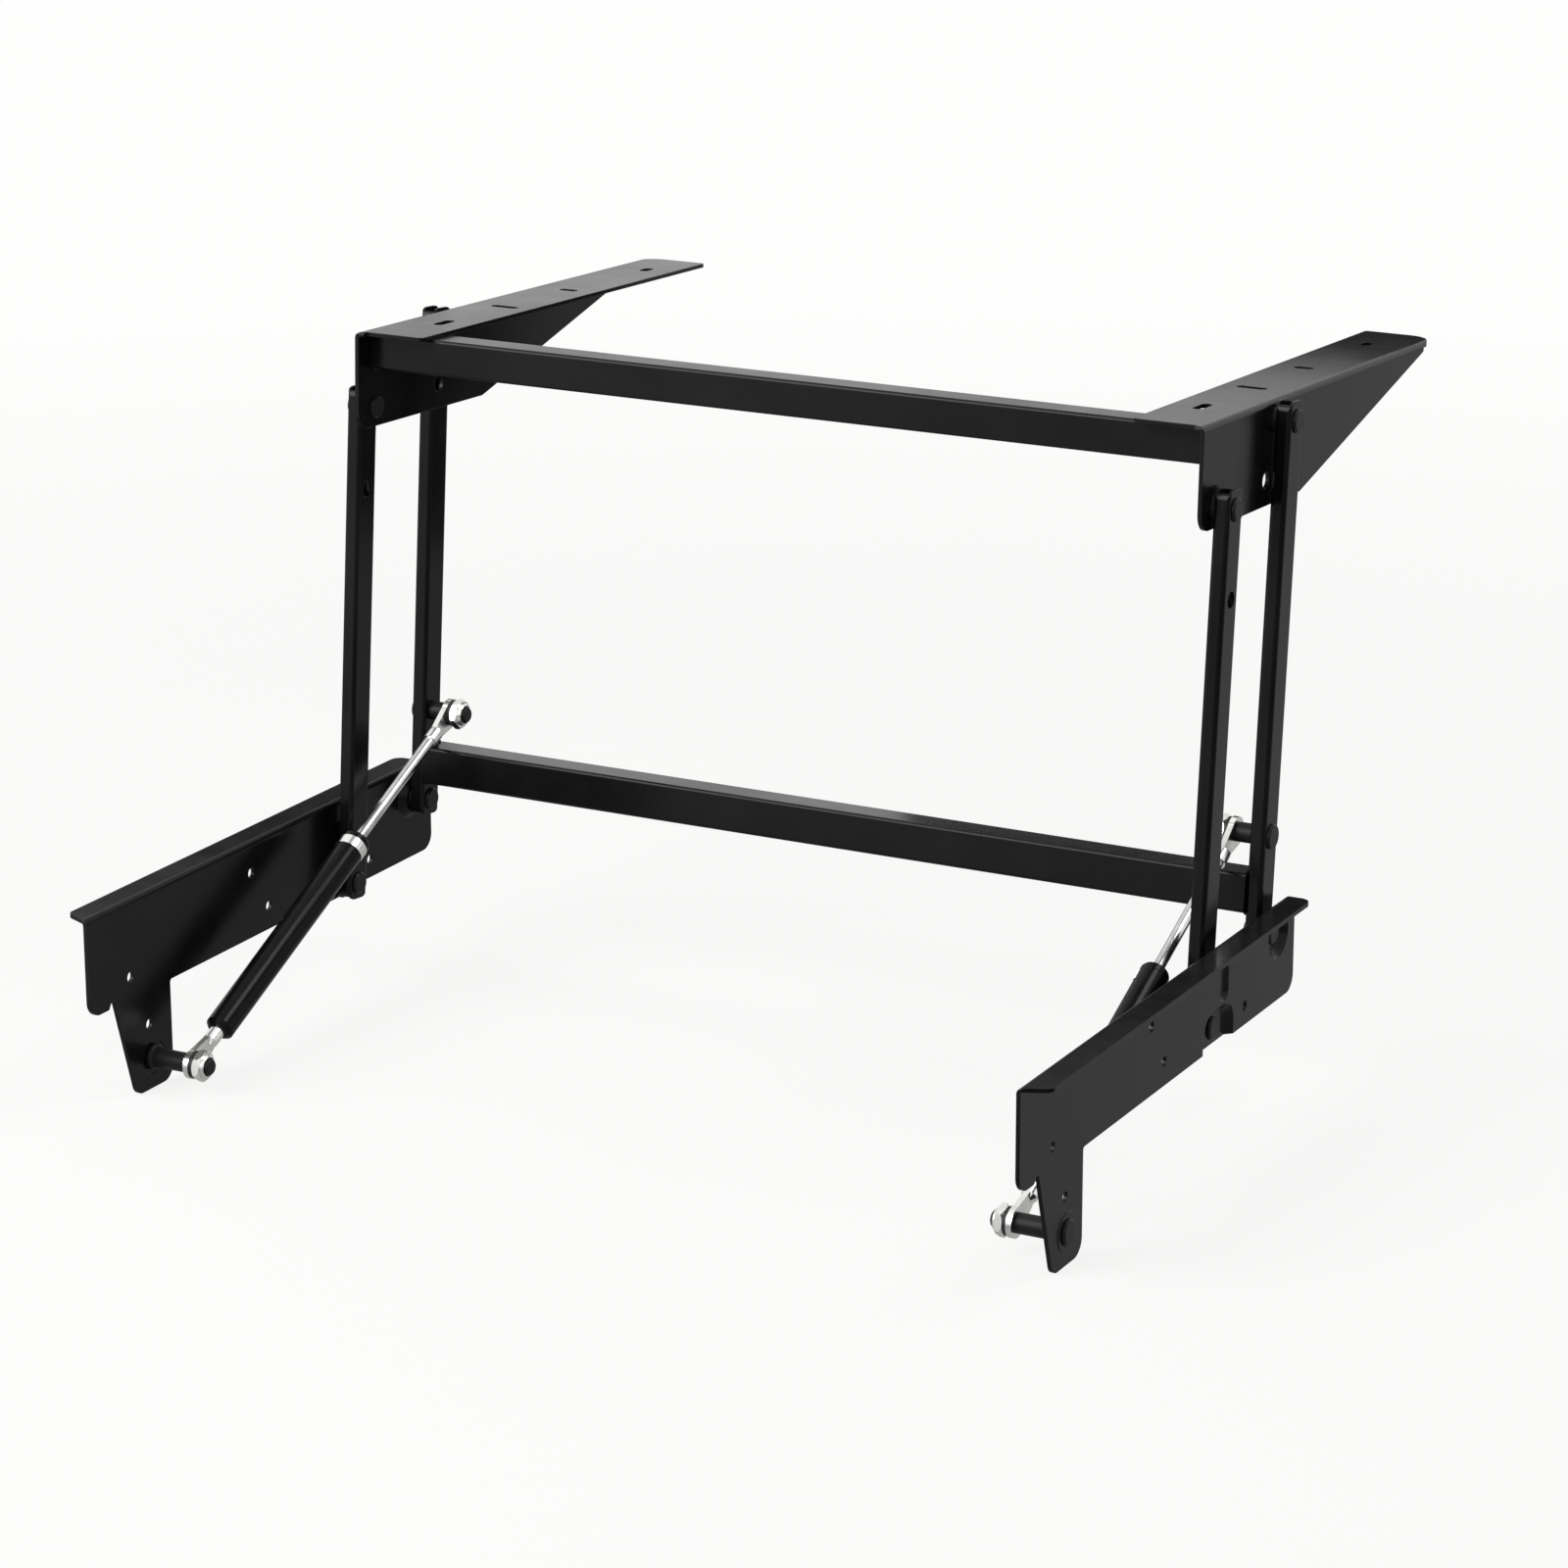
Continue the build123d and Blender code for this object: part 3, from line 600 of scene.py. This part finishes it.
def bead_radius(travelled, length):
    """The bead's radius at a point of the seam, with ripples and rounded ends."""
    ripple = 1.0 + RIPPLE_HEIGHT * math.sin(2 * math.pi * travelled / RIPPLE)
    to_end = min(travelled, length - travelled) / (2 * BEAD)
    return BEAD * ripple * math.sqrt(max(0.0, 1.0 - (1.0 - min(1.0, to_end)) ** 2))


def bead_mesh(name, start, end):
    """The mesh of a bead from start to end: rings of points, joined and closed."""
    length = (end - start).length
    forward = (end - start).normalized()
    up = forward.cross(ACROSS)
    turns = [2 * math.pi * k / BEAD_SIDES for k in range(BEAD_SIDES)]
    form = bmesh.new()
    rings = []
    for step in range(1, int(length / RIPPLE * RINGS_PER_RIPPLE)):
        travelled = step * RIPPLE / RINGS_PER_RIPPLE
        radius = bead_radius(travelled, length)
        middle = start + forward * travelled
        spokes = [ACROSS * math.cos(t) + up * math.sin(t) for t in turns]
        rings.append([form.verts.new(middle + spoke * radius) for spoke in spokes])
    for first, second in zip(rings, rings[1:]):
        for k in range(BEAD_SIDES):
            form.faces.new((first[k], first[k - 1], second[k - 1], second[k]))
    form.faces.new(rings[0])
    form.faces.new(list(reversed(rings[-1])))
    bmesh.ops.recalc_face_normals(form, faces=form.faces[:])
    mesh = bpy.data.meshes.new(name)
    form.to_mesh(mesh)
    form.free()
    for face in mesh.polygons:
        face.use_smooth = True
    return mesh


def make_bead(name, start, end, body):
    """A weld bead that rides on a body and has the bars' coating over it."""
    mesh = bead_mesh(name, start, end)
    mesh.materials.append(powder_coat)
    piece = bpy.data.objects.new(name, mesh)
    bpy.context.scene.collection.objects.link(piece)
    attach(piece, body)
    return piece


# %% Weld the crossbars
LOWER_BAR = 0.024
LOWER_LEAN = math.radians(-5.05)
UPPER_BAR = 0.022
UPPER_TILT = math.radians(-2.56)
SEAM_SHARE = 0.76
BEHIND = Vector((0.0, 1.0, 0.0))
ABOVE = Vector((0.0, 0.0, 1.0))
BELOW = Vector((0.0, 0.0, -1.0))


def weld_bar(bar, body, side_of_square, lean, seams):
    """Beads at both ends of a crossbar, along the named edges of its square section."""
    low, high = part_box(bar)
    middle = (low + high) / 2
    turn = Matrix.Rotation(lean, 3, "X")
    beads = []
    for end_name, reach in (("left", low.x + BEAD / 2), ("right", high.x - BEAD / 2)):
        for seam_name, outward in seams.items():
            out = turn @ outward * (side_of_square + BEAD) / 2
            along = turn @ Vector((0.0, outward.z, outward.y)) * side_of_square * SEAM_SHARE / 2
            centre = Vector((reach, middle.y, middle.z)) + out
            name = "weld_" + bar + "_" + end_name + "_" + seam_name
            beads.append(make_bead(name, centre - along, centre + along, body))
    return beads


lower_seams = {"top": ABOVE, "bottom": BELOW}
upper_seams = {"back": BEHIND, "bottom": BELOW}
beads = weld_bar("lower_crossbar", "rear_frame", LOWER_BAR, LOWER_LEAN, lower_seams)
beads += weld_bar("upper_crossbar", "top_frame", UPPER_BAR, UPPER_TILT, upper_seams)
print("weld beads:", len(beads))

# %% [markdown]
# ## The studio floor
#
# The picture has no visible room: a pale floor runs into a white background.
# For the camera, most of the floor's light is a white glow, and near the mechanism the rest
# is plain diffuse paper that shows a soft shadow. Further out only the glow is left,
# so no line shows where the floor ends.
# Mirrors see the floor too, and there it has the brighter and darker areas of a real studio:
# bright at the front left, grey behind and dark at both sides.
# Those areas are what draws the shape of black paint.
# For all other light it is an ordinary pale floor, so it throws back only what falls on it.

# %% Floor in mirrors
FRONT_STARTS, FRONT_FULL = 0.0, -0.6
SLANT = 0.46
SLANT_EDGES = (0.6, 0.2)
BACK_SLANT = 0.5
BACK_EDGES = (-0.42, -0.2)
LEFT_EDGES = (-0.6, -0.35)
RIGHT_EDGES = (0.1, 0.6)
GREY_LEFT, GREY_RIGHT = 0.3, 0.42
DARKEST, BRIGHTEST = 0.18, 1.0


def mirrored_floor(tree):
    """How bright the floor is in mirrors: bright at the front left, grey behind, dark at both sides."""
    place = add_node(tree, "ShaderNodeSeparateXYZ", None, Vector=surface_place(tree)).outputs
    slant = calculate(tree, "SUBTRACT", place["X"], calculate(tree, "MULTIPLY", place["Y"], SLANT))
    ahead = soft_step(tree, place["Y"], FRONT_STARTS, FRONT_FULL)
    front = calculate(tree, "MULTIPLY", ahead, soft_step(tree, slant, *SLANT_EDGES))
    rise = calculate(tree, "MULTIPLY", place["X"], BACK_SLANT)
    back_line = calculate(tree, "SUBTRACT", place["Y"], rise)
    not_left = soft_step(tree, place["X"], *LEFT_EDGES)
    back = calculate(tree, "MULTIPLY", soft_step(tree, back_line, *BACK_EDGES), not_left)
    to_right = soft_step(tree, place["X"], *RIGHT_EDGES)
    behind = calculate(tree, "MULTIPLY", back, blend_values(tree, to_right, GREY_LEFT, GREY_RIGHT))
    lit = calculate(tree, "MAXIMUM", behind, front)
    return blend_values(tree, lit, DARKEST, BRIGHTEST)


# %% Floor
WHITE_GLOW = (0.99, 0.99, 0.983, 1.0)
PAPER_DARK = (0.8, 0.8, 0.79, 1.0)
PAPER_PALE = (0.83, 0.83, 0.82, 1.0)
PAPER_CLOUDS = 6.0
HALF_FLOOR = 14.0
UNDER_FEET = 0.0002
SHADOW_FADES = (0.7, 2.6)
GLOW_NEAR = 0.86


def seen_by(tree, *rays):
    """1 for the named kinds of ray, and 0 for all others."""
    path = add_node(tree, "ShaderNodeLightPath").outputs
    total = path[rays[0]]
    for ray in rays[1:]:
        total = calculate(tree, "ADD", total, path[ray], clamp=True)
    return total


def make_floor():
    """A wide pale floor that touches the lowest point of the mechanism."""
    mesh = bpy.data.meshes.new("studio_floor")
    height = cad_low.z - UNDER_FEET
    corners = [(-1, -1), (1, -1), (1, 1), (-1, 1)]
    points = [(x * HALF_FLOOR, y * HALF_FLOOR, height) for x, y in corners]
    mesh.from_pydata(points, [], [(0, 1, 2, 3)])
    floor = bpy.data.objects.new("studio_floor", mesh)
    bpy.context.scene.collection.objects.link(floor)
    finish, tree, shader = start_finish("pale_floor", Roughness=0.9)
    paper = noise(tree, surface_place(tree), PAPER_CLOUDS, detail=3.0)
    tree.links.new(blend_colours(tree, paper, PAPER_DARK, PAPER_PALE), shader.inputs["Base Color"])
    measure = {"operation": "LENGTH"}
    from_middle = add_node(tree, "ShaderNodeVectorMath", measure, i0=surface_place(tree)).outputs["Value"]
    glow_share = blend_values(tree, soft_step(tree, from_middle, *SHADOW_FADES), GLOW_NEAR, 1.0)
    seen = calculate(tree, "MULTIPLY", seen_by(tree, "Is Camera Ray"), glow_share)
    mirrored = seen_by(tree, "Is Glossy Ray", "Is Transmission Ray")
    strength = blend_values(tree, mirrored, 1.0, mirrored_floor(tree))
    glow = add_node(tree, "ShaderNodeEmission", None, Color=WHITE_GLOW, Strength=strength).outputs[0]
    share = calculate(tree, "ADD", seen, mirrored, clamp=True)
    parts = {"i0": share, "i1": shader.outputs[0], "i2": glow}
    mixed = add_node(tree, "ShaderNodeMixShader", None, **parts).outputs[0]
    tree.links.new(mixed, tree.nodes["Material Output"].inputs["Surface"])
    floor.data.materials.append(finish)
    return floor


floor = make_floor()
print("floor height:", round(cad_low.z, 4))

# %% [markdown]
# ## Black cards
#
# In the photograph the tops of the base flanges are dark, while the tops of the upper flanges are pale.
# Both look up at nearly the same angle, so something dark must have stood low behind the mechanism.
# A darker paint on the lower brackets would be the wrong answer, because all parts share one coat.
# Photographers put up black cards for this. These two can be seen only in mirrors,
# and cast no shadow, so the background stays white.

# %% Black cards
CARD_BEHIND = 0.55
CARD_CLOUDS = 9.0
CARD_BLACK = grey(0.018)
CARD_DARK_GREY = grey(0.026)


def make_black_card(name, left, right, low, high):
    """A dark card behind the mechanism that only mirrors can see."""
    mesh = bpy.data.meshes.new(name)
    corners = [(left, low), (right, low), (right, high), (left, high)]
    mesh.from_pydata([(x, CARD_BEHIND, z) for x, z in corners], [], [(0, 1, 2, 3)])
    card = bpy.data.objects.new(name, mesh)
    bpy.context.scene.collection.objects.link(card)
    finish, tree, shader = start_finish(name + "_paper", Roughness=1.0)
    paper = noise(tree, surface_place(tree), CARD_CLOUDS)
    tree.links.new(blend_colours(tree, paper, CARD_BLACK, CARD_DARK_GREY), shader.inputs["Base Color"])
    mesh.materials.append(finish)
    card.visible_camera = False
    card.visible_diffuse = False
    card.visible_shadow = False
    return card


left_card = make_black_card("black_card_left", left=-1.0, right=-0.49, low=0.1, high=0.35)
right_card = make_black_card("black_card_right", left=-0.12, right=0.26, low=0.06, high=0.35)
print("cards:", left_card.name, right_card.name)

# %% [markdown]
# ## Light
#
# The world is white for the camera and in mirrors, and dimmer for everything else.
# A room that is equally bright all round would leave the tubes flat, so two soft lamps do the rest:
# a large one over the front left, and one high behind the right side that draws a line of light
# along each strut's tube.

# %% World and lamps
WORLD_LIGHT = (0.25, 0.25, 0.25, 1.0)


def make_world():
    """White to look at, and a gentler grey as a light."""
    world = bpy.data.worlds.new("white_studio")
    world.use_nodes = True
    tree = world.node_tree
    seen = seen_by(tree, "Is Camera Ray", "Is Glossy Ray", "Is Transmission Ray")
    shown = blend_colours(tree, seen, WORLD_LIGHT, WHITE_GLOW)
    tree.links.new(shown, tree.nodes["Background"].inputs["Color"])
    bpy.context.scene.world = world
    return world


def make_lamp(name, place, width, power):
    """A square soft lamp that looks at the middle of the mechanism."""
    data = bpy.data.lights.new(name, "AREA")
    data.size = width
    data.energy = power
    lamp = bpy.data.objects.new(name, data)
    lamp.location = place
    lamp.rotation_mode = "QUATERNION"
    lamp.rotation_quaternion = (cad_middle - Vector(place)).to_track_quat("-Z", "Y")
    bpy.context.scene.collection.objects.link(lamp)
    return lamp


world = make_world()
key_softbox = make_lamp("key_softbox", (-1.2, -1.9, 1.6), width=2.0, power=80.0)
strut_softbox = make_lamp("strut_softbox", (1.05, 0.65, 2.0), width=0.9, power=14.0)
print("world and lamps:", world.name, key_softbox.name, strut_softbox.name)
